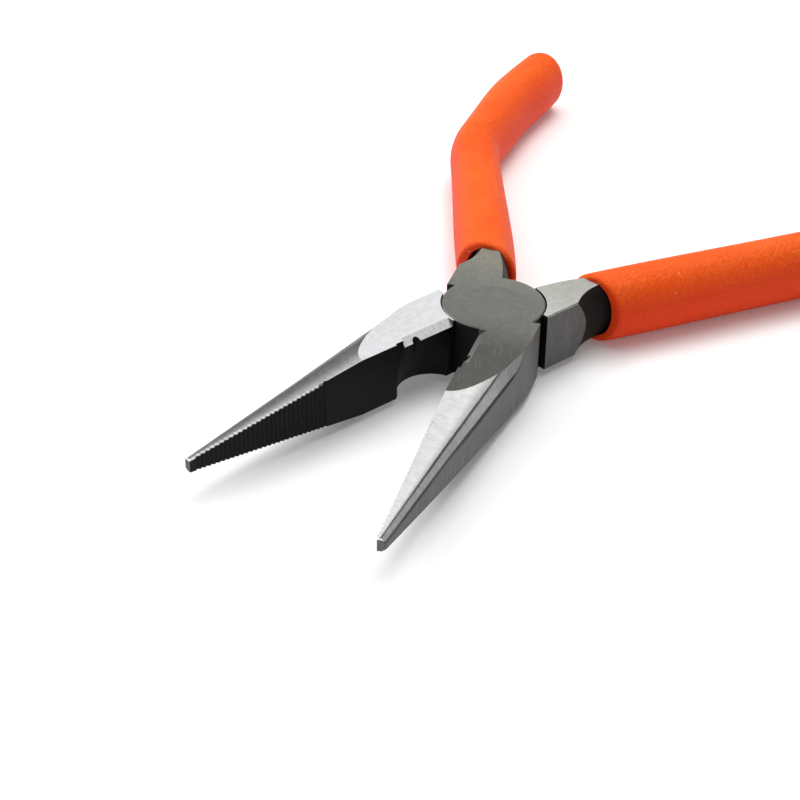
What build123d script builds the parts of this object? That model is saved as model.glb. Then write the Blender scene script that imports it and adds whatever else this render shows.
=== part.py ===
from build123d import *
from math import cos, hypot, radians, sin
import os

# Long nose pliers with side cutters: two forged levers, a flush rivet and two slip-on grips.
#
# Frame: millimetres, +Z up. The origin is the centre of the rivet's lower end face, +X runs to the
# jaw tips along the bisector of the jaws, and +Y is the side on which the upper lever has its jaw.
#
# Each lever is drawn in its own closed frame: x along the closed pliers to the tip, y outwards on
# its jaw's side, z = 0 at mid-thickness, and its own half of the lap joint at z > 0. The lower
# lever is the same half turned over about x, so only the cutter bevel changes side.

# ---- driving dimensions -------------------------------------------------------------------------

THICKNESS = 10.0            # across the ground faces of joint, jaw roots and shoulders
REST_OPENING = 31.45        # angle between the jaws as the pliers lie, degrees
TIP_REACH = 60.4            # pivot axis to jaw tip
TAIL_REACH = 104.6          # pivot axis to the closed end of a grip

# lap joint
DISC_RADIUS = 8.46
DISC_CLEARANCE = 0.2        # radial, round each lap disc
LAP_GAP = 0.05              # axial, between the two lap faces
EDGE_BREAK = 0.15           # chamfer round the disc's face and along the shoulder's side
ROOT_MARGIN = 0.34          # jaw root's outer side beyond the disc
SHOULDER_MARGIN = 0.47      # tang shoulder's outer side beyond the disc
# the corners that meet when the pliers are fully open, each as x over y as seen from the pivot
ROOT_CORNER_SLOPE = 0.466
SHOULDER_CORNER_SLOPE = 0.392

# rivet, pressed into the upper lever and running in the lower one
RIVET_RADIUS = 3.0
RIVET_HEAD_RADIUS = 5.2
RIVET_HEAD_DEPTH = 1.6
RIVET_CLEARANCE = 0.03

# jaw
BURIED_X = 1.0              # the root's inner corner, which lies inside the disc
BURIED_Y = 6.0
ROOT_END_X = 8.6            # end of the parallel root of the jaw
FLANK_START_X = 15.0        # start of the long taper to the tip
FLANK_START_Y = 8.05
FLANK_BOW = 0.2             # outward bow of the long taper at its middle
TIP_WIDTH = 1.35            # one jaw, at its tip
TIP_HEIGHT = 2.4            # at the tip
NOSE_START_X = 27.7         # where the inner face starts to lose height towards the tip
NOSE_FLARE = 2.1            # plan half width over half height of the nose's elliptical section
JAW_FACE_GAP = 0.02         # each gripping face stands back from the closing plane
TIP_ROUND = 0.35

# the bevels along the jaw's outer edges, wide on the top face and narrow underneath, as stations
# from a pointed start to the tip: x, then each edge as its inset from the flank and its drop
# below the top of the nose
FACET_START_X = 19.7
NOSE_MIDDLE_X = (FACET_START_X + TIP_REACH) / 2
PAST_TIP_X = TIP_REACH + 0.6
TOP_BEVEL = (
    (11.5, (-0.23, 0.0), (-0.43, 1.0)),
    (15.2, (0.17, 0.0), (-0.03, 2.7)),
    (FACET_START_X, (0.69, 0.0), (-0.04, 2.8)),
    (NOSE_MIDDLE_X, (0.85, 0.46), (-0.2, 1.8)),
    (PAST_TIP_X, (0.76, 0.0), (0.01, 0.63)),
)
UNDERSIDE_BEVEL = (
    (5.0, (-0.07, 0.0), (-0.47, 0.6)),
    (FACET_START_X, (0.36, 0.0), (-0.04, 0.6)),
    (NOSE_MIDDLE_X, (0.35, 0.56), (-0.35, 1.16)),
    (PAST_TIP_X, (0.66, 0.03), (-0.04, 0.53)),
)
FACET_FALL = 0.2            # of the facet beside the top bevel, z over y
# unground channels along both edges of the top bevel: half width and depth at the last stations
EDGE_GROOVE = ((0.12, 0.16), (0.24, 0.32), (0.24, 0.32), (0.14, 0.2))
SIDE_GROOVE = ((0.2, 0.1), (0.34, 0.22), (0.34, 0.24), (0.16, 0.12))

# serrated gripping face
TEETH_START_X = 34.7
TOOTH_PITCH = 0.85
TOOTH_DEPTH = 0.3

# side cutter, its places counted from where it starts beside the lap disc
CUTTER_MARGIN = 0.44        # from the disc to the start of the cutter
CUTTER_LENGTH = 12.1
CUTTER_BEVEL_LENGTH = 10.1
CUTTER_BEVEL_WIDTH = 1.2
CUTTER_BEVEL_DEPTH = 1.1
CUTTER_STEP_LENGTH = 1.7
CUTTER_STEP_DEPTH = 0.4
STRIP_NOTCH_PLACE = 7.6
STRIP_NOTCH_RADIUS = 0.75
RELIEF_PLACE = 1.1          # start of the chord of the round relief on the underside
RELIEF_LENGTH = 10.4
RELIEF_DEPTH = 3.45

# the core inside the grip, an ellipse in section
CORE_HALF_WIDTH = 3.1
CORE_RECESS = 0.15          # its half height stands back from the ground faces
CORE_START = 12.0           # along the centreline, where the core begins
CORE_END_INSET = 7.0        # the core stops short of the grip's closed end

# handle centreline in the closed frame: a straight splay, a finger bend and a gentle return
HANDLE_START_X = -14.5
HANDLE_OFFSET = 1.65        # where it starts, from the closing plane to the core's side
HANDLE_SPLAY = 1 / 3        # sideways over length, up to the bend
BEND_TO_TAIL = 42.1         # along x, from the finger bend to the closed end of the grip
RETURN_TO_TAIL = 18.6
RETURN_STEP = 0.85          # sideways, from the bend to the return
TAIL_STEP = 4.15            # sideways, from the bend to the closed end
BEND_RADIUS = 20.0
RETURN_RADIUS = 70.0

# forged tang, from the shoulder back into the grip
TANG_INNER_Y = -0.3
GROUND_LENGTH = 12.0        # of the side flats, from the front of the shoulder

# grip
GRIP_CLEARANCE = 0.05       # between the core and the grip's bore
GRIP_MOUTH_X = -17.3        # mouth, on the handle's centreline
GRIP_MOUTH_SLANT = 9.0      # of the mouth against the closed y axis, degrees
GRIP_LIP_ROUND = 0.9
GRIP_MOUTH_GAP = 0.52       # what the flare adds to each side of the core at the mouth
GRIP_MOUTH_SHIFT = 0.48     # of the flare at the mouth, towards the outside of the handle
GRIP_FLARE_DEPTH = 4.0      # from the mouth to the end of the flare
GRIP_END_ROUND = 3.8
END_ROUND_LIMIT = 0.995     # share of the tightest radius in the end's outline
# its wall, as stations on the centreline: distance, thickness beside and above the core
GRIP_STATIONS = (
    (0.0, 1.75, 1.2),
    (9.0, 2.1, 1.27),
    (40.0, 1.65, 1.25),
    (60.0, 1.75, 1.3),
)

# ---- what follows from them ---------------------------------------------------------------------

HALF_THICKNESS = THICKNESS / 2
HALF_ANGLE = radians(REST_OPENING / 2)
RECESS_RADIUS = DISC_RADIUS + DISC_CLEARANCE
CORE_HALF_HEIGHT = HALF_THICKNESS - CORE_RECESS
ROOT_Y = DISC_RADIUS + ROOT_MARGIN
ROOT_X = ROOT_Y * ROOT_CORNER_SLOPE
SHOULDER_Y = -DISC_RADIUS - SHOULDER_MARGIN
SHOULDER_X = SHOULDER_Y * SHOULDER_CORNER_SLOPE
CUTTER_START_X = DISC_RADIUS + CUTTER_MARGIN
HANDLE_START_Y = -CORE_HALF_WIDTH - HANDLE_OFFSET
# the tang's round section: x, its centre's offset from the start of the handle's centreline, and
# how far it reaches beyond the core's half width and beyond the ground faces
TANG_STATIONS = (
    (SHOULDER_X, -0.55, 3.5, 5.0),
    (-10.3, -0.35, 1.85, 2.9),
    (-12.4, -0.05, 1.1, 2.1),
    (-15.8, -0.2, 0.3, 1.05),
)
BEYOND = 2.0                # how far a cutting solid runs past what it cuts
PAST_FACE = 0.01            # the same, where its shape at the face itself has to hold


def joint_frame(jaw_side, own_side):
    """Closed frame of a lever, turned to rest: jaw_side is +1 for +Y, own_side +1 for the top."""
    along = (cos(HALF_ANGLE), jaw_side * sin(HALF_ANGLE), 0)
    return Plane((0, 0, HALF_THICKNESS), x_dir=along, z_dir=(0, 0, own_side))


UPPER_FRAME = joint_frame(+1, +1)
LOWER_FRAME = joint_frame(-1, -1)


def across(x, y=0.0):
    """Plane square to the closed x axis: its own x runs along y and its own y along z."""
    return Plane((x, y, 0), x_dir=(0, 1, 0), z_dir=(1, 0, 0))


def handle_path():
    """Centreline of tang core and grip, from the shoulder to the closed end of the grip."""
    start = (HANDLE_START_X, HANDLE_START_Y)
    bend_x = BEND_TO_TAIL - TAIL_REACH
    bend_y = HANDLE_START_Y + HANDLE_SPLAY * (bend_x - HANDLE_START_X)
    back = (RETURN_TO_TAIL - TAIL_REACH, bend_y + RETURN_STEP)
    tail = (-TAIL_REACH, bend_y + TAIL_STEP)
    with BuildLine() as line:
        FilletPolyline(start, (bend_x, bend_y), back, tail, radius=(BEND_RADIUS, RETURN_RADIUS))
    return line.wire()


def square_to(path, distance):
    """Plane square to the path at a distance along it, with its own y upwards."""
    point = path.position_at(distance, position_mode=PositionMode.LENGTH)
    direction = path.tangent_at(distance, position_mode=PositionMode.LENGTH)
    return Plane(point, x_dir=Vector(0, 0, 1).cross(direction), z_dir=direction)


HANDLE = handle_path()
HANDLE_LENGTH = HANDLE.length


def groove(corner, towards, away, half_width, depth):
    """Four corners of a V cut into an edge, given the directions of its two faces from there."""
    towards = towards.normalized()
    away = away.normalized()
    inward = (towards + away).normalized()
    outside = corner - inward * half_width
    return corner + towards * half_width, corner + inward * depth, corner + away * half_width, outside


def jaw(top):
    """One jaw in the closed frame; top is +1 or -1, the side of z that carries the cutter bevel."""
    nose_slope = (HALF_THICKNESS - TIP_HEIGHT / 2) / (TIP_REACH - NOSE_START_X)
    nose_apex_x = NOSE_START_X + HALF_THICKNESS / nose_slope
    flank_slope = (TIP_WIDTH - FLANK_START_Y) / (TIP_REACH - FLANK_START_X)
    taper_middle = ((FLANK_START_X + TIP_REACH) / 2, (FLANK_START_Y + TIP_WIDTH) / 2 + FLANK_BOW)

    def edge(x, place):
        inset, drop = place
        flank_y = FLANK_START_Y + flank_slope * (x - FLANK_START_X)
        nose_z = min(HALF_THICKNESS, nose_slope * (nose_apex_x - x))
        return Vector(flank_y - inset, nose_z - drop)

    with BuildPart() as body:
        with BuildSketch(Plane.XY.offset(-HALF_THICKNESS)):
            with BuildLine():
                Polyline((TIP_REACH, TIP_WIDTH), (TIP_REACH, JAW_FACE_GAP), (BURIED_X, JAW_FACE_GAP))
                Polyline((BURIED_X, JAW_FACE_GAP), (BURIED_X, BURIED_Y), (ROOT_X, BURIED_Y))
                Polyline((ROOT_X, BURIED_Y), (ROOT_X, ROOT_Y), (ROOT_END_X, ROOT_Y))
                TangentArc((ROOT_END_X, ROOT_Y), (FLANK_START_X, FLANK_START_Y), tangent=(1, 0))
                ThreePointArc((FLANK_START_X, FLANK_START_Y), taper_middle, (TIP_REACH, TIP_WIDTH))
            make_face()
        extrude(amount=THICKNESS)
        tip_corner = body.edges().filter_by(Axis.Z).group_by(Axis.X)[-1].sort_by(Axis.Y)[-1]
        fillet(tip_corner, radius=TIP_ROUND)
        # the nose is an elliptical cone, whose section shrinks towards an apex beyond the tip
        for x in (0, TIP_REACH + BEYOND):
            half_height = nose_slope * (nose_apex_x - x)
            with BuildSketch(across(x)):
                Ellipse(NOSE_FLARE * half_height, half_height)
        loft(mode=Mode.INTERSECT)
        for side, stations in ((top, TOP_BEVEL), (-top, UNDERSIDE_BEVEL)):
            for x, *places in stations:
                upper, lower = (edge(x, place) for place in places)
                reach = BEYOND * (lower - upper)
                above = upper - reach
                below = lower + reach
                corners = (above, below, Vector(below.X + BEYOND, above.Y))
                with BuildSketch(across(x)):
                    Polygon(*((corner.X, side * corner.Y) for corner in corners), align=None)
            loft(ruled=True, mode=Mode.SUBTRACT)
        # a channel where the top bevel meets the facet, and one where it meets the flank
        for channel, sizes in enumerate((EDGE_GROOVE, SIDE_GROOVE)):
            for (x, *places), size in zip(TOP_BEVEL[1:], sizes):
                upper, lower = (edge(x, place) for place in places)
                if channel == 0:
                    corners = groove(upper, Vector(-1, FACET_FALL), lower - upper, *size)
                else:
                    corners = groove(lower, upper - lower, Vector(0, -1), *size)
                with BuildSketch(across(x)):
                    Polygon(*((corner.X, top * corner.Y) for corner in corners), align=None)
            loft(ruled=True, mode=Mode.SUBTRACT)
        # teeth: grooves square to the gripping face, cut through its whole height
        with BuildSketch(Plane.XY.offset(-HALF_THICKNESS - BEYOND)):
            x = TEETH_START_X
            while x + TOOTH_PITCH < TIP_REACH - TIP_ROUND:
                near_side = ((x, -BEYOND), (x, JAW_FACE_GAP), (x + TOOTH_PITCH / 2, TOOTH_DEPTH))
                far_side = ((x + TOOTH_PITCH, JAW_FACE_GAP), (x + TOOTH_PITCH, -BEYOND))
                Polygon(*near_side, *far_side, align=None)
                x += TOOTH_PITCH
        extrude(amount=THICKNESS + 2 * BEYOND, mode=Mode.SUBTRACT)
        # cutter: a bevel down to the edge on top, and a round relief that leaves the edge below it
        edge_z = top * (HALF_THICKNESS - CUTTER_BEVEL_DEPTH)
        face_z = top * HALF_THICKNESS
        past_y = BEYOND * CUTTER_BEVEL_WIDTH / CUTTER_BEVEL_DEPTH
        with BuildSketch(across(CUTTER_START_X)):
            below = (-past_y, edge_z - top * BEYOND)
            above = (CUTTER_BEVEL_WIDTH + past_y, face_z + top * BEYOND)
            Polygon(below, above, (-past_y, face_z + top * BEYOND), align=None)
        extrude(amount=CUTTER_BEVEL_LENGTH, mode=Mode.SUBTRACT)
        underside_z = -top * (HALF_THICKNESS + PAST_FACE)
        levels = (
            (underside_z, CUTTER_START_X + RELIEF_PLACE, RELIEF_LENGTH, RELIEF_DEPTH),
            (edge_z, CUTTER_START_X, CUTTER_LENGTH, 2 * JAW_FACE_GAP),
        )
        for z, start_x, length, depth in levels:
            with BuildSketch(Plane.XY.offset(z)):
                with BuildLine():
                    ThreePointArc((start_x, 0), (start_x + length / 2, depth), (start_x + length, 0))
                    Line((start_x + length, 0), (start_x, 0))
                make_face()
        loft(ruled=True, mode=Mode.SUBTRACT)
        with BuildSketch(Plane.XY.offset(-HALF_THICKNESS - BEYOND)):
            with Locations((CUTTER_START_X + STRIP_NOTCH_PLACE, 0)):
                Circle(STRIP_NOTCH_RADIUS)
            with Locations((CUTTER_START_X + CUTTER_BEVEL_LENGTH + CUTTER_STEP_LENGTH / 2, 0)):
                Rectangle(CUTTER_STEP_LENGTH, 2 * CUTTER_STEP_DEPTH)
        extrude(amount=THICKNESS + 2 * BEYOND, mode=Mode.SUBTRACT)
    return body.part


def tang(growth=0.0):
    """Forged tang with its core; growth widens it all round, to cut the grip's bore."""
    with BuildPart() as body:
        for x, offset, wider, higher in TANG_STATIONS:
            with BuildSketch(across(x, HANDLE_START_Y + offset)):
                Ellipse(CORE_HALF_WIDTH + wider + growth, HALF_THICKNESS + higher + growth)
        core = (CORE_HALF_WIDTH + growth, CORE_HALF_HEIGHT + growth)
        with BuildSketch(square_to(HANDLE, CORE_START)):
            Ellipse(*core)
        loft()
        core_end = HANDLE_LENGTH - CORE_END_INSET + growth
        with BuildSketch(square_to(HANDLE, CORE_START)):
            Ellipse(*core)
        sweep(path=HANDLE.trim(CORE_START / HANDLE_LENGTH, core_end / HANDLE_LENGTH))
        # ground flats: top and bottom, the shoulder's outer side, and the side facing the other tang
        split(bisect_by=Plane.XY.offset(HALF_THICKNESS + growth), keep=Keep.BOTTOM)
        split(bisect_by=Plane.XY.offset(-HALF_THICKNESS - growth), keep=Keep.TOP)
        with BuildSketch(Plane.XY.offset(-HALF_THICKNESS - BEYOND)):
            with Locations((SHOULDER_X + BEYOND, SHOULDER_Y - growth)):
                Rectangle(GROUND_LENGTH, DISC_RADIUS, align=(Align.MAX, Align.MAX))
            with Locations((SHOULDER_X + BEYOND, TANG_INNER_Y + growth)):
                Rectangle(GROUND_LENGTH, DISC_RADIUS, align=(Align.MAX, Align.MIN))
        extrude(amount=THICKNESS + 2 * BEYOND, mode=Mode.SUBTRACT)
        shoulder_edges = body.edges().filter_by(Axis.X).group_by(Axis.Y)[0]
        chamfer(shoulder_edges, length=EDGE_BREAK)
    return body.part


def rivet_shape(growth=0.0):
    """Rivet about the pivot, head to head; growth widens shank and heads, to cut its bore."""
    with BuildPart() as body:
        Cylinder(RIVET_RADIUS + growth, THICKNESS)
        for side in (1, -1):
            with BuildSketch(Plane.XY.offset(side * HALF_THICKNESS)):
                Circle(RIVET_HEAD_RADIUS + growth)
            with BuildSketch(Plane.XY.offset(side * (HALF_THICKNESS - RIVET_HEAD_DEPTH))):
                Circle(RIVET_RADIUS + growth)
            loft()
    return body.part


def lever(top, bore):
    """One forging in the closed frame, its lap disc at z > 0; bore is cut out round the pivot."""
    jaw_solid = jaw(top)
    tang_solid = tang()
    with BuildPart() as body:
        Cylinder(DISC_RADIUS, THICKNESS)
        chamfer(body.edges().group_by(Axis.Z)[-1], length=EDGE_BREAK)
        add(jaw_solid)
        add(tang_solid)
        # recess for the other lever's lap disc
        with BuildSketch(Plane.XY.offset(LAP_GAP / 2)):
            Circle(RECESS_RADIUS)
        extrude(amount=-THICKNESS, mode=Mode.SUBTRACT)
        add(bore, mode=Mode.SUBTRACT)
    return body.part


def grip():
    """One sleeve in the closed frame: a swept shell, bored to the tang, closed at the far end."""
    bore = tang(GRIP_CLEARANCE)
    tail_section = (HANDLE_LENGTH, *GRIP_STATIONS[-1][1:])
    slant = radians(GRIP_MOUTH_SLANT)
    mouth_y = HANDLE_START_Y + (GRIP_MOUTH_X - HANDLE_START_X) * HANDLE_SPLAY
    mouth = Plane((GRIP_MOUTH_X, mouth_y, 0), z_dir=(cos(slant), -sin(slant), 0))
    mouth_distance = (HANDLE_START_X - GRIP_MOUTH_X) * hypot(1, HANDLE_SPLAY)
    with BuildPart() as body:
        for distance, side_wall, top_wall in (*GRIP_STATIONS, tail_section):
            with BuildSketch(square_to(HANDLE, distance)):
                Ellipse(CORE_HALF_WIDTH + side_wall, CORE_HALF_HEIGHT + top_wall)
        sweep(path=HANDLE, multisection=True)
        # the end can't be rounder than the tightest bend of its own outline
        tightest = (CORE_HALF_WIDTH + side_wall) ** 2 / (CORE_HALF_HEIGHT + top_wall)
        end_round = min(GRIP_END_ROUND, END_ROUND_LIMIT * tightest)
        fillet(body.faces().sort_by(Axis.X)[0].edges(), radius=end_round)
        split(bisect_by=mouth, keep=Keep.BOTTOM)
        fillet(body.faces().sort_by(Axis.X)[-1].edges(), radius=GRIP_LIP_ROUND)
        add(bore, mode=Mode.SUBTRACT)
        # the mouth flares at both sides, which leaves a dark gap beside the tang
        flare_end = mouth_distance + GRIP_FLARE_DEPTH
        for distance, share in ((0, flare_end / GRIP_FLARE_DEPTH), (flare_end, 0)):
            with BuildSketch(square_to(HANDLE, distance)):
                with Locations((share * GRIP_MOUTH_SHIFT, 0)):
                    Ellipse(CORE_HALF_WIDTH + share * GRIP_MOUTH_GAP, CORE_HALF_HEIGHT)
        loft(mode=Mode.SUBTRACT)
    return body.part


lower_bore = rivet_shape(RIVET_CLEARANCE)
upper_bore = rivet_shape()
upper_lever_solid = lever(+1, upper_bore)
lower_lever_solid = lever(-1, lower_bore)
grip_solid = grip()

with BuildPart() as lever_upper:
    add(upper_lever_solid.moved(UPPER_FRAME.location))
lever_upper.part.label = "lever_upper"

with BuildPart() as lever_lower:
    add(lower_lever_solid.moved(LOWER_FRAME.location))
lever_lower.part.label = "lever_lower"

with BuildPart() as pivot_rivet:
    add(upper_bore.moved(UPPER_FRAME.location))
pivot_rivet.part.label = "pivot_rivet"

with BuildPart() as grip_upper:
    add(grip_solid.moved(UPPER_FRAME.location))
grip_upper.part.label = "grip_upper"

with BuildPart() as grip_lower:
    add(grip_solid.moved(LOWER_FRAME.location))
grip_lower.part.label = "grip_lower"

os.makedirs("parts", exist_ok=True)
for piece in (lever_upper, lever_lower, pivot_rivet, grip_upper, grip_lower):
    export_step(piece.part, f"parts/{piece.part.label}.step")
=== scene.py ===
from math import cos, pi, radians, sin

import bpy
from mathutils import Matrix, Vector


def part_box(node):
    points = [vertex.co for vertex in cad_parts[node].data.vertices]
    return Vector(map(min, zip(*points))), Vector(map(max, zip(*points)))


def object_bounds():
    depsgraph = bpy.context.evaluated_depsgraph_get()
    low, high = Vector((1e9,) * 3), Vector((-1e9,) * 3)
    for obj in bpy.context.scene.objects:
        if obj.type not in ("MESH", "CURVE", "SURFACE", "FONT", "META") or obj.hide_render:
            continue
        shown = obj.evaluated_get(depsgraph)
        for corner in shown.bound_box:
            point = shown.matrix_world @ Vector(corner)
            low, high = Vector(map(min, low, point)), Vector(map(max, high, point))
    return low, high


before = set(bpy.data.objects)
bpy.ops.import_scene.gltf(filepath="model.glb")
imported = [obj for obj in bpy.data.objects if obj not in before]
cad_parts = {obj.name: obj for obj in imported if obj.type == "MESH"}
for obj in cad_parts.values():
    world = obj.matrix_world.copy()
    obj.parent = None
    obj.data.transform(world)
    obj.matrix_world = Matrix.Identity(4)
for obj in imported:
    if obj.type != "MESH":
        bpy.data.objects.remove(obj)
CAD_LOW, CAD_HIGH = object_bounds()

MM = 0.001

# ---- where things are, from the frame -----------------------------------------------------------

JOINT_LOW, JOINT_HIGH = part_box("pivot_rivet")
MID_Z = (JOINT_LOW[2] + JOINT_HIGH[2]) / 2
HALF_THICKNESS = (JOINT_HIGH[2] - JOINT_LOW[2]) / 2
FLOOR_Z = CAD_LOW[2]
REST_OPENING = 31.45                    # degrees between the jaws at rest
HALF_OPENING = radians(REST_OPENING / 2)

# ---- the camera ---------------------------------------------------------------------------------

CAMERA_TARGET = Vector((26.263, -0.813, 5.0)) * MM
CAMERA_AZIMUTH = radians(33.0)          # from +X towards +Y
CAMERA_ELEVATION = radians(33.205)
CAMERA_DISTANCE = 278.71 * MM
CAMERA_ROLL = radians(0.749)
CAMERA_LENS = 81.59
CAMERA_SENSOR = 36.0
CAMERA_CLIP = (0.01, 20)


def direction(azimuth, elevation):
    """Unit vector at an azimuth from +X towards +Y and an elevation above the floor."""
    flat = cos(elevation)
    return Vector((flat * cos(azimuth), flat * sin(azimuth), sin(elevation)))


def make_camera():
    data = bpy.data.cameras.new("camera")
    data.lens = CAMERA_LENS
    data.sensor_width = CAMERA_SENSOR
    data.clip_start, data.clip_end = CAMERA_CLIP
    camera = bpy.data.objects.new("camera", data)
    bpy.context.scene.collection.objects.link(camera)
    away = direction(CAMERA_AZIMUTH, CAMERA_ELEVATION)
    right = Vector((-sin(CAMERA_AZIMUTH), cos(CAMERA_AZIMUTH), 0))
    up = away.cross(right)
    rolled_right = right * cos(CAMERA_ROLL) + up * sin(CAMERA_ROLL)
    rolled_up = up * cos(CAMERA_ROLL) - right * sin(CAMERA_ROLL)
    turn = Matrix((rolled_right, rolled_up, away)).transposed()
    camera.matrix_world = Matrix.Translation(CAMERA_TARGET + away * CAMERA_DISTANCE) @ turn.to_4x4()
    bpy.context.scene.camera = camera


# ---- light and floor ----------------------------------------------------------------------------

WORLD_STRENGTH = 0.30
LIGHT_TARGET = Vector((0.015, 0, MID_Z))


def area_light(name, azimuth, elevation, distance, size, power):
    """Square soft light aimed just in front of the joint; angles in degrees, size in metres."""
    data = bpy.data.lights.new(name, "AREA")
    data.shape = "SQUARE"
    data.size = size
    data.energy = power
    light = bpy.data.objects.new(name, data)
    bpy.context.scene.collection.objects.link(light)
    away = direction(radians(azimuth), radians(elevation))
    light.location = LIGHT_TARGET + away * distance
    light.rotation_euler = away.to_track_quat("Z", "Y").to_euler()


def make_light():
    scene = bpy.context.scene
    scene.view_settings.view_transform = "Standard"
    scene.view_settings.look = "None"
    world = bpy.data.worlds.new("studio")
    world.use_nodes = True
    background = world.node_tree.nodes["Background"]
    background.inputs["Color"].default_value = (1, 1, 1, 1)
    background.inputs["Strength"].default_value = WORLD_STRENGTH
    scene.world = world
    area_light("overhead", azimuth=200, elevation=74, distance=1.0, size=0.9, power=6.8)
    area_light("key", azimuth=190, elevation=58, distance=0.7, size=0.3, power=1.0)
    area_light("side", azimuth=-75, elevation=42, distance=0.7, size=0.4, power=2.0)


STAGE_RADIUS = 0.9
BACKDROP_HEIGHT = 1.2
STAGE_SIDES = 96
FLOOR_FADE = (0.16, 0.45)               # metres from the joint over which it turns evenly white
FLOOR_GLOW = 0.08                       # its own light near the tool, against 1 far away
FLOOR_ALBEDO = 0.95
FLOOR_ROUGHNESS = 0.9


def stage_object(name, corners, faces, material):
    """A mesh that belongs to the studio, not to the tool."""
    mesh = bpy.data.meshes.new(name)
    mesh.from_pydata(corners, [], faces)
    mesh.materials.append(material)
    made = bpy.data.objects.new(name, mesh)
    bpy.context.scene.collection.objects.link(made)
    return made


def make_floor():
    """A round pale floor, evenly white away from the tool, and a white wall round it."""
    angles = [2 * pi * index / STAGE_SIDES for index in range(STAGE_SIDES)]
    edge = [(STAGE_RADIUS * cos(angle), STAGE_RADIUS * sin(angle), FLOOR_Z) for angle in angles]
    paper = Graph("floor_paint")
    paper.shader.inputs["Base Color"].default_value = grey(FLOOR_ALBEDO)
    paper.shader.inputs["Roughness"].default_value = FLOOR_ROUGHNESS
    paper.shader.inputs["Emission Color"].default_value = grey(1.0)
    distance = paper.vector("LENGTH", paper.coordinates.outputs["Object"])
    glow = paper.rescale(paper.step(distance, *FLOOR_FADE), 0.0, 1.0, FLOOR_GLOW, 1.0)
    paper.plug(paper.shader.inputs["Emission Strength"], glow)
    stage_object("floor", edge, [tuple(range(STAGE_SIDES))], paper.material)

    white = Graph("backdrop_paint")
    white.shader.inputs["Base Color"].default_value = grey(0.0)
    white.shader.inputs["Emission Color"].default_value = grey(1.0)
    white.shader.inputs["Emission Strength"].default_value = 1.0
    raised = [(x, y, z + BACKDROP_HEIGHT) for x, y, z in edge]
    walls = []
    for index in range(STAGE_SIDES):
        after = (index + 1) % STAGE_SIDES
        walls.append((index, after, after + STAGE_SIDES, index + STAGE_SIDES))
    wall = stage_object("backdrop", edge + raised, walls, white.material)
    # the wall is only a background: it neither lights the tool nor shades it
    wall.visible_diffuse = False
    wall.visible_glossy = False
    wall.visible_transmission = False
    wall.visible_shadow = False


# ---- material graphs ----------------------------------------------------------------------------

NOISE_RANGE = (0.3, 0.7)                # between which most of a noise's values lie


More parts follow.
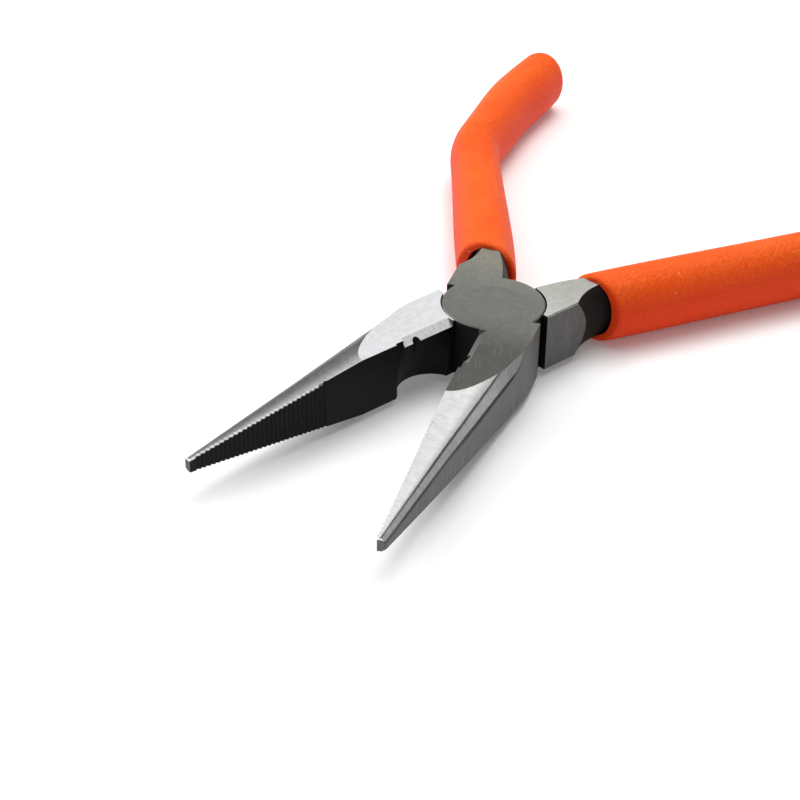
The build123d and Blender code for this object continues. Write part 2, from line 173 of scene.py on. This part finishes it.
class Graph:
    """Adds nodes to one material; each call returns the new node's output socket."""

    def __init__(self, name):
        self.material = bpy.data.materials.new(name)
        self.material.use_nodes = True
        self.tree = self.material.node_tree
        self.shader = self.tree.nodes["Principled BSDF"]
        self.coordinates = self.tree.nodes.new("ShaderNodeTexCoord")
        self.position = self.vector("SCALE", self.coordinates.outputs["Object"], scale=1 / MM)
        self.normal = self.coordinates.outputs["Normal"]

    def plug(self, socket, value):
        if isinstance(value, bpy.types.NodeSocket):
            self.tree.links.new(value, socket)
        else:
            socket.default_value = value

    def math(self, operation, *values):
        node = self.tree.nodes.new("ShaderNodeMath")
        node.operation = operation
        for socket, value in zip(node.inputs, values):
            self.plug(socket, value)
        return node.outputs[0]

    def vector(self, operation, *values, scale=None):
        node = self.tree.nodes.new("ShaderNodeVectorMath")
        node.operation = operation
        for socket, value in zip(node.inputs, values):
            self.plug(socket, value)
        if scale is not None:
            self.plug(node.inputs["Scale"], scale)
        return node.outputs["Value" if operation in ("DOT_PRODUCT", "LENGTH") else "Vector"]

    def combine(self, x, y, z):
        node = self.tree.nodes.new("ShaderNodeCombineXYZ")
        for socket, value in zip(node.inputs, (x, y, z)):
            self.plug(socket, value)
        return node.outputs[0]

    def step(self, value, low, high):
        """0 below low, 1 above high, smooth between; low may be the larger one."""
        node = self.tree.nodes.new("ShaderNodeMapRange")
        node.interpolation_type = "SMOOTHSTEP"
        self.plug(node.inputs["Value"], value)
        self.plug(node.inputs["From Min"], low)
        self.plug(node.inputs["From Max"], high)
        return node.outputs[0]

    def rescale(self, value, low, high, to_low, to_high):
        node = self.tree.nodes.new("ShaderNodeMapRange")
        for name, number in (("Value", value), ("From Min", low), ("From Max", high)):
            self.plug(node.inputs[name], number)
        self.plug(node.inputs["To Min"], to_low)
        self.plug(node.inputs["To Max"], to_high)
        return node.outputs[0]

    def noise(self, vector, scale, detail=2.0, roughness=0.5):
        node = self.tree.nodes.new("ShaderNodeTexNoise")
        self.plug(node.inputs["Vector"], vector)
        node.inputs["Scale"].default_value = scale
        node.inputs["Detail"].default_value = detail
        node.inputs["Roughness"].default_value = roughness
        return node.outputs["Fac"]

    def cells(self, vector, scale):
        """Distance to the nearest of randomly placed points."""
        node = self.tree.nodes.new("ShaderNodeTexVoronoi")
        self.plug(node.inputs["Vector"], vector)
        node.inputs["Scale"].default_value = scale
        return node.outputs["Distance"]

    def mix(self, factor, first, second):
        """Between two colours."""
        node = self.tree.nodes.new("ShaderNodeMix")
        node.data_type = "RGBA"
        self.plug(node.inputs["Factor"], factor)
        self.plug(node.inputs[6], first)
        self.plug(node.inputs[7], second)
        return node.outputs[2]

    def blend(self, factor, first, second):
        """Between two numbers."""
        node = self.tree.nodes.new("ShaderNodeMix")
        self.plug(node.inputs["Factor"], factor)
        self.plug(node.inputs[2], first)
        self.plug(node.inputs[3], second)
        return node.outputs[0]

    def both(self, first, second):
        return self.math("MULTIPLY", first, second)

    def length(self, first, second):
        squares = self.both(first, first), self.both(second, second)
        return self.math("SQRT", self.math("ADD", *squares))

    def marks(self, grain, contrast):
        """A factor about 1 that follows the grain, further from 1 the higher the contrast."""
        spread = self.rescale(grain, *NOISE_RANGE, -1.0, 1.0)
        return self.math("ADD", 1.0, self.both(spread, contrast))

    def follow(self, value, stations, column):
        """A column of the stations as a function of the first one, in straight runs between them."""
        total = stations[0][column]
        for near, far in zip(stations, stations[1:]):
            run = self.rescale(value, near[0], far[0], 0.0, far[column] - near[column])
            total = self.math("ADD", total, run)
        return total

    def ramp(self, value, stops):
        """Grey level along the stops, each a place from 0 to 1 and its level."""
        node = self.tree.nodes.new("ShaderNodeValToRGB")
        self.plug(node.inputs["Fac"], value)
        elements = node.color_ramp.elements
        for index, (place, level) in enumerate(stops):
            element = elements[index] if index < 2 else elements.new(place)
            element.position = place
            element.color = grey(level)
        return node.outputs["Color"]

    def bump(self, height, distance, strength):
        """Relief from a height; distance is its depth in metres."""
        node = self.tree.nodes.new("ShaderNodeBump")
        node.inputs["Strength"].default_value = strength
        node.inputs["Distance"].default_value = distance
        self.plug(node.inputs["Height"], height)
        return node.outputs["Normal"]


def grey(level):
    return (level, level, level, 1)


# ---- steel --------------------------------------------------------------------------------------

# places on a lever, in millimetres in its own closed frame: s along it to the tip, n out to its
# own jaw's side, and height from mid-thickness
GROUND_HEIGHT = HALF_THICKNESS / MM
DISC_R = 8.46
RIVET_HEAD_R = (JOINT_HIGH[0] - JOINT_LOW[0]) / 2 / MM
# borders of its finishes, each the place where the finish starts and the place where it is full
GROUND_BORDER = (GROUND_HEIGHT - 0.07, GROUND_HEIGHT - 0.03)
LAP_BORDER = (GROUND_HEIGHT - 0.17, GROUND_HEIGHT - 0.25)
LAP_BORDER_R = (DISC_R + 0.30, DISC_R + 0.25)
SHOULDER_BORDER_N = (-8.85, -8.90)
TANG_BORDER_S = (-3.45, -3.50)
GRIPPING_BORDER_S = (8.1, 8.6)
TEETH_BORDER_S = (34.7, 36.7)
TOOTH_RIM = (0.55, 0.35)                # below the top of the jaw
RIVET_RING_R = RIVET_HEAD_R + 0.05
RIVET_RING_BORDER = (0.10, 0.02)        # either side of that radius
RIVET_RING_BREAKS = (0.50, 0.60)        # of the blotches, below which the ring is broken
# the strip between facet and flank: s, then n and height of its upper edge and of its lower edge
STRIP_STATIONS = (
    (11.5, 8.8, 5.0, 9.0, 4.0),
    (15.2, 7.85, 5.0, 8.05, 2.3),
    (19.7, 6.67, 5.0, 7.4, 2.2),
    (40.05, 3.5, 3.1, 4.55, 1.77),
    (61.0, 0.5, 1.13, 1.25, 0.5),
)
NOSE_STATIONS = ((27.7, 5.0), (60.4, 1.2))  # s and height of the nose's ridge
# the dark channels along the strip's upper edge and its lower edge: half width, the s where each
# starts to show, and the s where it is at its darkest
UPPER_CHANNEL = (0.30, 19.2, 21.0)
LOWER_CHANNEL = (0.55, 12.0, 17.5)
CHANNEL_TAPER = (30.0, 60.0)            # s over which the channels narrow towards the tip
CHANNEL_TIP_WIDTH = 0.6                 # their width there, as a share
CHANNEL_CORE = 0.35                     # share of the half width that is fully dark
CHANNEL_SHADE = 0.30                    # what a channel leaves of the tone
# which way a face points, as the cosine where its mask starts and where it is full
LEVEL_FACING = (0.995, 0.999)
SHOULDER_FACING = (-0.6, -0.7)
CUTTER_INWARD_FACING = (-0.3, -0.5)
CUTTER_UPWARD_FACING = (0.5, 0.6)
GRIPPING_INWARD_FACING = (-0.15, -0.25)
GRIPPING_UPWARD_FACING = (0.5, 0.4)
FACET_FACING = (0.80, 0.93)
STRIP_ABOVE_FLANK = (0.02, 0.05)
STRIP_BELOW_FACET = (0.88, 0.82)
STRIP_OUTWARD_FACING = (0.3, 0.5)
FLANK_FACING = (0.3, 0.2)
TOOTH_SIDE_FACING = (0.6, 0.4)

# grain of the faces, in noise cells per millimetre
FACET_GRAIN = (4.0, 0.7, 1.0)           # along s, n and height
FLANK_GRAIN = (6.0, 6.0, 0.5)
FLAT_GRAIN = 3.5
LAY_GRAIN = (0.35, 6.0)                 # along the lay of the grinding marks and across it
SCRATCH_GRAINS = (((0.35, 9.0), 0.5), ((0.5, 12.0), -0.9))  # the same, with the lay in radians
SCRATCH_BORDER = (0.64, 0.72)           # of the noise that makes the scratches
SCRATCH_PATCHES = (0.40, 0.55)          # of the noise that thins them out
SCRATCH_LIGHT = 0.07                    # what a scratch adds to the tone
BLOTCH_GRAIN = 0.8
BLOTCH = (0.94, 1.06)                   # what blotches leave of the tone
FORGED_CONTRAST = 0.20                  # of the grain, away from the flats
PIT_GRAIN = 2.4
PIT_RANGE = (0.35, 0.7)
STEEL_ROUGHNESS = (0.50, 0.60)
BLACK_ROUGHNESS = 0.6
BLACK_SPECULAR = 0.18
RELIEF_DEPTH = 0.03 * MM
RELIEF_STRENGTH = 0.5

# painted highlight on the sides of the teeth's bare rim
TOOTH_TIP_HIGHLIGHT = 0.8
RIVET_RING_SHADE = 0.62                 # what the ring round the rivet's head leaves of the tone
FORGED_BLUE = 0.99                      # blue against red and green, away from the flats
RIVET_BLUE = 0.94
OXIDE_DARK = (0.0010, 0.0014, 0.0009, 1)
OXIDE_LIGHT = (0.0066, 0.0090, 0.0058, 1)
TANG_DARK = (0.016, 0.018, 0.015, 1)
TANG_LIGHT = (0.060, 0.064, 0.056, 1)


class Lever:
    """Places, facing and masks of one lever, as sockets in its material graph."""

    def __init__(self, graph, jaw_side):
        self.graph = graph
        along = (cos(HALF_OPENING), jaw_side * sin(HALF_OPENING), 0)
        outward = (-sin(HALF_OPENING), jaw_side * cos(HALF_OPENING), 0)
        self.place = graph.vector("SUBTRACT", graph.position, (0, 0, MID_Z / MM))
        self.s = graph.vector("DOT_PRODUCT", self.place, along)
        self.n = graph.vector("DOT_PRODUCT", self.place, outward)
        self.z = graph.vector("DOT_PRODUCT", self.place, (0, 0, 1))
        self.height = graph.math("ABSOLUTE", self.z)
        self.radius = graph.length(self.s, self.n)
        self.normal_n = graph.vector("DOT_PRODUCT", graph.normal, outward)
        self.normal_z = graph.vector("DOT_PRODUCT", graph.normal, (0, 0, 1))
        self.tilt = graph.math("ABSOLUTE", self.normal_z)

    def ground_flat(self):
        """The ground top and bottom faces of joint, jaw root and shoulder."""
        graph = self.graph
        level = graph.step(self.tilt, *LEVEL_FACING)
        return graph.both(level, graph.step(self.height, *GROUND_BORDER))

    def ground_side(self):
        """The ground outer side of the shoulder."""
        graph = self.graph
        beyond = graph.step(self.n, *SHOULDER_BORDER_N)
        return graph.both(beyond, graph.step(self.normal_n, *SHOULDER_FACING))

    def cutter_bevel(self):
        graph = self.graph
        facing = graph.step(self.normal_n, *CUTTER_INWARD_FACING)
        return graph.both(facing, graph.step(self.normal_z, *CUTTER_UPWARD_FACING))

    def gripping(self):
        """The black inner side of the jaw, from the cutter to the tip."""
        graph = self.graph
        inward = graph.step(self.normal_n, *GRIPPING_INWARD_FACING)
        facing = graph.both(inward, graph.step(self.normal_z, *GRIPPING_UPWARD_FACING))
        return graph.both(facing, graph.step(self.s, *GRIPPING_BORDER_S))

    def tooth_tips(self):
        """The bare upper rim of the teeth."""
        graph = self.graph
        below_top = graph.math("SUBTRACT", graph.follow(self.s, NOSE_STATIONS, 1), self.z)
        return graph.both(graph.step(below_top, *TOOTH_RIM), graph.step(self.s, *TEETH_BORDER_S))

    def lap(self):
        """The black inside of the lap joint and its recess."""
        graph = self.graph
        inside = graph.step(self.radius, *LAP_BORDER_R)
        return graph.both(inside, graph.step(self.height, *LAP_BORDER))

    def strip(self):
        """The bevel between facet and flank, on the top face."""
        graph = self.graph
        above = graph.step(self.normal_z, *STRIP_ABOVE_FLANK)
        leaning = graph.both(above, graph.step(self.normal_z, *STRIP_BELOW_FACET))
        return graph.both(leaning, graph.step(self.normal_n, *STRIP_OUTWARD_FACING))

    def channel(self, edge, half_width, start, full):
        """Dark line along the strip's upper edge (0) or lower edge (1), fading in from start to full."""
        graph = self.graph
        edge_n = graph.follow(self.s, STRIP_STATIONS, 1 + 2 * edge)
        edge_z = graph.follow(self.s, STRIP_STATIONS, 2 + 2 * edge)
        n_gap = graph.math("SUBTRACT", self.n, edge_n)
        z_gap = graph.math("SUBTRACT", self.z, edge_z)
        reach = graph.rescale(self.s, *CHANNEL_TAPER, half_width, half_width * CHANNEL_TIP_WIDTH)
        core = graph.step(graph.length(n_gap, z_gap), reach, graph.both(reach, CHANNEL_CORE))
        return graph.both(core, graph.step(self.s, start, full))

    def rivet_ring(self, blotch):
        """Broken dark line round the rivet's head."""
        graph = self.graph
        off_ring = graph.math("ABSOLUTE", graph.math("SUBTRACT", self.radius, RIVET_RING_R))
        ring = graph.step(off_ring, *RIVET_RING_BORDER)
        return graph.both(ring, graph.step(blotch, *RIVET_RING_BREAKS))


def along_and_across(graph, place, turn):
    """A place measured along a direction in the plane of the flats, and across it."""
    along = graph.vector("DOT_PRODUCT", place, (cos(turn), sin(turn), 0))
    across = graph.vector("DOT_PRODUCT", place, (-sin(turn), cos(turn), 0))
    return along, across


def steel_scratches(graph, place):
    """Sparse fine scratches in two directions, 0 to 1."""
    marks = []
    for (along_scale, across_scale), turn in SCRATCH_GRAINS:
        along, across = along_and_across(graph, place, turn)
        lines = graph.combine(graph.both(along, along_scale), graph.both(across, across_scale), turn)
        marks.append(graph.step(graph.noise(lines, scale=1.0, detail=1.0), *SCRATCH_BORDER))
    patches = graph.step(graph.noise(place, scale=0.3, detail=1.0), *SCRATCH_PATCHES)
    return graph.both(graph.math("MAXIMUM", *marks), patches)


def steel_blotch(graph, place):
    return graph.noise(place, scale=BLOTCH_GRAIN, detail=3.0, roughness=0.6)


def flat_grain(graph, place, lay):
    """Grinding marks of a flat, fine grain where lay is None, else lines along that direction."""
    if lay is None:
        return graph.noise(place, scale=FLAT_GRAIN, detail=4.0, roughness=0.7)
    along, across = along_and_across(graph, place, lay)
    lines = graph.combine(graph.both(along, LAY_GRAIN[0]), graph.both(across, LAY_GRAIN[1]), 0.0)
    return graph.noise(lines, scale=1.0, detail=4.0, roughness=0.6)


def stretched(graph, lever, scales):
    """Place on a lever, with each of its axes scaled."""
    places = (lever.s, lever.n, lever.z)
    return graph.combine(*(graph.both(place, scale) for place, scale in zip(places, scales)))


def worn_tone(graph, tone, grain, contrast, blotch, scratch):
    """A tone with its grain, blotches and scratches."""
    tone = graph.both(tone, graph.marks(grain, contrast))
    tone = graph.both(tone, graph.rescale(blotch, *NOISE_RANGE, *BLOTCH))
    return graph.math("ADD", tone, graph.both(scratch, SCRATCH_LIGHT))


def darkened(graph, tone, mask, share):
    """The tone, with only a share of it left where the mask is 1."""
    return graph.both(tone, graph.rescale(mask, 0.0, 1.0, 1.0, share))


def lever_material(name, jaw_side, flat_tones, flat_contrast, facet_tones, strip_tones, flank_tone,
                   cutter_tone, tang_tone, lay):
    """Steel of one lever: ground flats, brushed flanks, black gripping faces and a black tang; the tones
    given for its faces are partly their finish and partly painted reflection and painted shade.

    flat_tones are stations of s, tone and blue; strip_tones are stations of s and tone;
    facet_tones are places across the facet, from the gripping edge to the strip, and tones.
    """
    graph = Graph(name)
    lever = Lever(graph, jaw_side)
    flat = lever.ground_flat()
    flank = graph.step(lever.tilt, *FLANK_FACING)
    ground = graph.math("MAXIMUM", flat, lever.ground_side())
    behind = graph.step(lever.s, *TANG_BORDER_S)
    tang = graph.both(behind, graph.math("SUBTRACT", 1.0, ground))
    tooth_tips = lever.tooth_tips()
    black = graph.math("MAXIMUM", lever.gripping(), lever.lap())
    black = graph.both(black, graph.math("SUBTRACT", 1.0, tooth_tips))

    # grain: across the facets, up the flanks, and as the flats were ground
    facet_grain = graph.noise(stretched(graph, lever, FACET_GRAIN), scale=1.0, detail=4.0, roughness=0.65)
    flank_grain = graph.noise(stretched(graph, lever, FLANK_GRAIN), scale=1.0, detail=3.0, roughness=0.6)
    grain = graph.blend(flank, facet_grain, flank_grain)
    grain = graph.blend(flat, grain, flat_grain(graph, lever.place, lay))
    blotch = steel_blotch(graph, lever.place)

    # tone of each face, partly its finish and partly painted reflection and painted shade, and then its
    # marks
    across_facet = graph.math("DIVIDE", lever.n, graph.follow(lever.s, STRIP_STATIONS, 1))
    facet_tone = graph.ramp(across_facet, facet_tones)
    tone = graph.blend(graph.step(lever.tilt, *FACET_FACING), flank_tone, facet_tone)
    tone = graph.blend(lever.strip(), tone, graph.follow(lever.s, strip_tones, 1))
    tone = graph.blend(lever.cutter_bevel(), tone, cutter_tone)
    # painted highlight on the sides of the bare tooth rim
    painted_tip_highlight = graph.both(tooth_tips, graph.step(lever.tilt, *TOOTH_SIDE_FACING))
    tone = graph.blend(painted_tip_highlight, tone, TOOTH_TIP_HIGHLIGHT)
    tone = graph.blend(flat, tone, graph.follow(lever.s, flat_tones, 1))
    contrast = graph.blend(flat, FORGED_CONTRAST, flat_contrast)
    tone = worn_tone(graph, tone, grain, contrast, blotch, steel_scratches(graph, lever.place))
    channels = (lever.channel(0, *UPPER_CHANNEL), lever.channel(1, *LOWER_CHANNEL))
    tone = darkened(graph, tone, graph.math("MAXIMUM", *channels), CHANNEL_SHADE)
    tone = darkened(graph, tone, lever.rivet_ring(blotch), RIVET_RING_SHADE)

    blue = graph.blend(flat, FORGED_BLUE, graph.follow(lever.s, flat_tones, 2))
    steel = graph.vector("SCALE", graph.combine(1.0, 1.0, blue), scale=tone)
    pitting = graph.noise(lever.place, scale=PIT_GRAIN, detail=5.0, roughness=0.65)
    pits = graph.rescale(pitting, *PIT_RANGE, 0.0, 1.0)
    tang_colour = graph.vector("SCALE", graph.mix(pits, TANG_DARK, TANG_LIGHT), scale=tang_tone)
    colour = graph.mix(tang, steel, tang_colour)
    oxide = graph.mix(pits, OXIDE_DARK, OXIDE_LIGHT)
    graph.plug(graph.shader.inputs["Base Color"], graph.mix(black, colour, oxide))
    scaled = graph.math("MAXIMUM", black, tang)
    graph.plug(graph.shader.inputs["Metallic"], graph.math("SUBTRACT", 1.0, scaled))
    roughness = graph.rescale(grain, *NOISE_RANGE, *STEEL_ROUGHNESS)
    graph.plug(graph.shader.inputs["Roughness"], graph.blend(scaled, roughness, BLACK_ROUGHNESS))
    graph.shader.inputs["Specular IOR Level"].default_value = BLACK_SPECULAR
    surface = graph.blend(scaled, grain, pitting)
    relief = graph.bump(surface, distance=RELIEF_DEPTH, strength=RELIEF_STRENGTH)
    graph.plug(graph.shader.inputs["Normal"], relief)
    return graph.material


def rivet_material(top_tone, under_tone, contrast):
    """The flush rivet, each end ground with the flat round it and given that flat's tone, which is
    painted reflection.
    """
    graph = Graph("rivet_steel")
    place = graph.vector("SUBTRACT", graph.position, (0, 0, MID_Z / MM))
    grain = flat_grain(graph, place, lay=None)
    blotch = steel_blotch(graph, place)
    height = graph.vector("DOT_PRODUCT", place, (0, 0, 1))
    tone = graph.blend(graph.step(height, -1.0, 1.0), under_tone, top_tone)
    tone = worn_tone(graph, tone, grain, contrast, blotch, steel_scratches(graph, place))
    colour = graph.vector("SCALE", (1.0, 1.0, RIVET_BLUE), scale=tone)
    graph.plug(graph.shader.inputs["Base Color"], colour)
    graph.shader.inputs["Metallic"].default_value = 1.0
    roughness = graph.rescale(grain, *NOISE_RANGE, *STEEL_ROUGHNESS)
    graph.plug(graph.shader.inputs["Roughness"], roughness)
    relief = graph.bump(grain, distance=RELIEF_DEPTH, strength=RELIEF_STRENGTH)
    graph.plug(graph.shader.inputs["Normal"], relief)
    return graph.material


# ---- grips --------------------------------------------------------------------------------------

GRIP_ORANGE = (1.0, 0.122, 0.006, 1)
GRIP_BRIGHT = (1.0, 0.155, 0.014, 1)
# painted shade: the darker red-orange laid on the grips' sides and underside and in the pebble's hollows
GRIP_PAINTED_SHADE = (0.76, 0.030, 0.001, 1)
GRIP_SPECK = (1.0, 0.45, 0.25, 1)
CLOUD_RANGE = (0.35, 0.65)              # of slow noise, from the orange to the bright one
HOLLOW_RANGE = (0.62, 0.38)             # of the pebble's height, from its crests to its hollows
HOLLOW_PAINTED_SHADE = 0.45                 # share of the painted shade colour there
PAINTED_SHADE_FACING = (0.8, 0.15)               # cosine to straight up, over which the painted shade deepens
SIDE_PAINTED_SHADE = 0.75
SPECK_BORDER = (0.07, 0.04)
SPECK_SHARE = 0.5
GRIP_ROUGHNESS = (0.45, 0.6)
GRIP_SPECULAR = 0.16
PEBBLE_DEPTH = 0.3 * MM
PEBBLE_STRENGTH = 0.9
PEBBLE_SHARE = 0.75                     # of the relief; the fine grain has the rest


def grip_material():
    """Dipped vinyl, pebbled, with a few pale specks, and painted shade where it faces away from up and in
    the pebble's hollows.
    """
    graph = Graph("grip_vinyl")
    pebble = graph.noise(graph.position, scale=1.9, detail=3.0, roughness=0.6)
    fine = graph.noise(graph.position, scale=6.0, detail=2.0)
    cloud = graph.noise(graph.position, scale=0.12, detail=2.0)
    colour = graph.mix(graph.rescale(cloud, *CLOUD_RANGE, 0.0, 1.0), GRIP_ORANGE, GRIP_BRIGHT)
    # painted shade in the pebble's hollows
    painted_hollow_shade = graph.rescale(pebble, *HOLLOW_RANGE, 0.0, HOLLOW_PAINTED_SHADE)
    colour = graph.mix(painted_hollow_shade, colour, GRIP_PAINTED_SHADE)
    # painted shade, darker the further a face turns from straight up
    upward = graph.vector("DOT_PRODUCT", graph.normal, (0, 0, 1))
    painted_side_shade = graph.rescale(upward, *PAINTED_SHADE_FACING, 0.0, SIDE_PAINTED_SHADE)
    colour = graph.mix(painted_side_shade, colour, GRIP_PAINTED_SHADE)
    speck = graph.step(graph.cells(graph.position, scale=0.35), *SPECK_BORDER)
    colour = graph.mix(graph.both(speck, SPECK_SHARE), colour, GRIP_SPECK)
    graph.plug(graph.shader.inputs["Base Color"], colour)
    roughness = graph.rescale(pebble, *NOISE_RANGE, *GRIP_ROUGHNESS)
    graph.plug(graph.shader.inputs["Roughness"], roughness)
    graph.shader.inputs["Specular IOR Level"].default_value = GRIP_SPECULAR
    height = graph.math("ADD", graph.both(pebble, PEBBLE_SHARE), graph.both(fine, 1 - PEBBLE_SHARE))
    relief = graph.bump(height, distance=PEBBLE_DEPTH, strength=PEBBLE_STRENGTH)
    graph.plug(graph.shader.inputs["Normal"], relief)
    return graph.material


# ---- finishes -----------------------------------------------------------------------------------


def paint(node, material):
    """Give a CAD node its material."""
    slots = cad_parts[node].data.materials
    slots.clear()
    slots.append(material)


def finish_nodes():
    # one steel on both levers: the differences between their flat, facet, strip, flank, cutter and tang
    # tones are painted reflection and painted shade
    upper_steel = lever_material(
        "steel_upper", +1, lay=None, flat_contrast=0.16,
        flat_tones=((-13.5, 0.235, 0.84), (-3.0, 0.17, 0.94), (6.0, 0.152, 0.94), (14.0, 0.091, 0.93)),
        facet_tones=((0.0, 0.41), (0.72, 0.40), (0.92, 0.27), (1.0, 0.165)),
        strip_tones=((12.0, 0.20), (17.0, 0.23), (24.0, 0.40), (45.0, 0.55)),
        flank_tone=0.138, cutter_tone=0.30, tang_tone=0.6)
    lower_steel = lever_material(
        "steel_lower", -1, lay=radians(-14), flat_contrast=0.13,
        flat_tones=((-13.5, 0.38, 0.93), (-4.0, 0.445, 0.95), (6.0, 0.62, 1.02), (14.0, 0.60, 1.02)),
        facet_tones=((0.0, 0.44), (0.14, 0.34), (0.45, 0.19), (0.80, 0.14), (0.92, 0.34), (1.0, 0.15)),
        strip_tones=((12.0, 0.45), (45.0, 0.45)),
        flank_tone=0.119, cutter_tone=0.84, tang_tone=0.15)
    paint("lever_upper", upper_steel)
    paint("lever_lower", lower_steel)
    paint("pivot_rivet", rivet_material(top_tone=0.165, under_tone=0.51, contrast=0.16))
    vinyl = grip_material()
    paint("grip_upper", vinyl)
    paint("grip_lower", vinyl)


make_camera()
make_light()
make_floor()
finish_nodes()
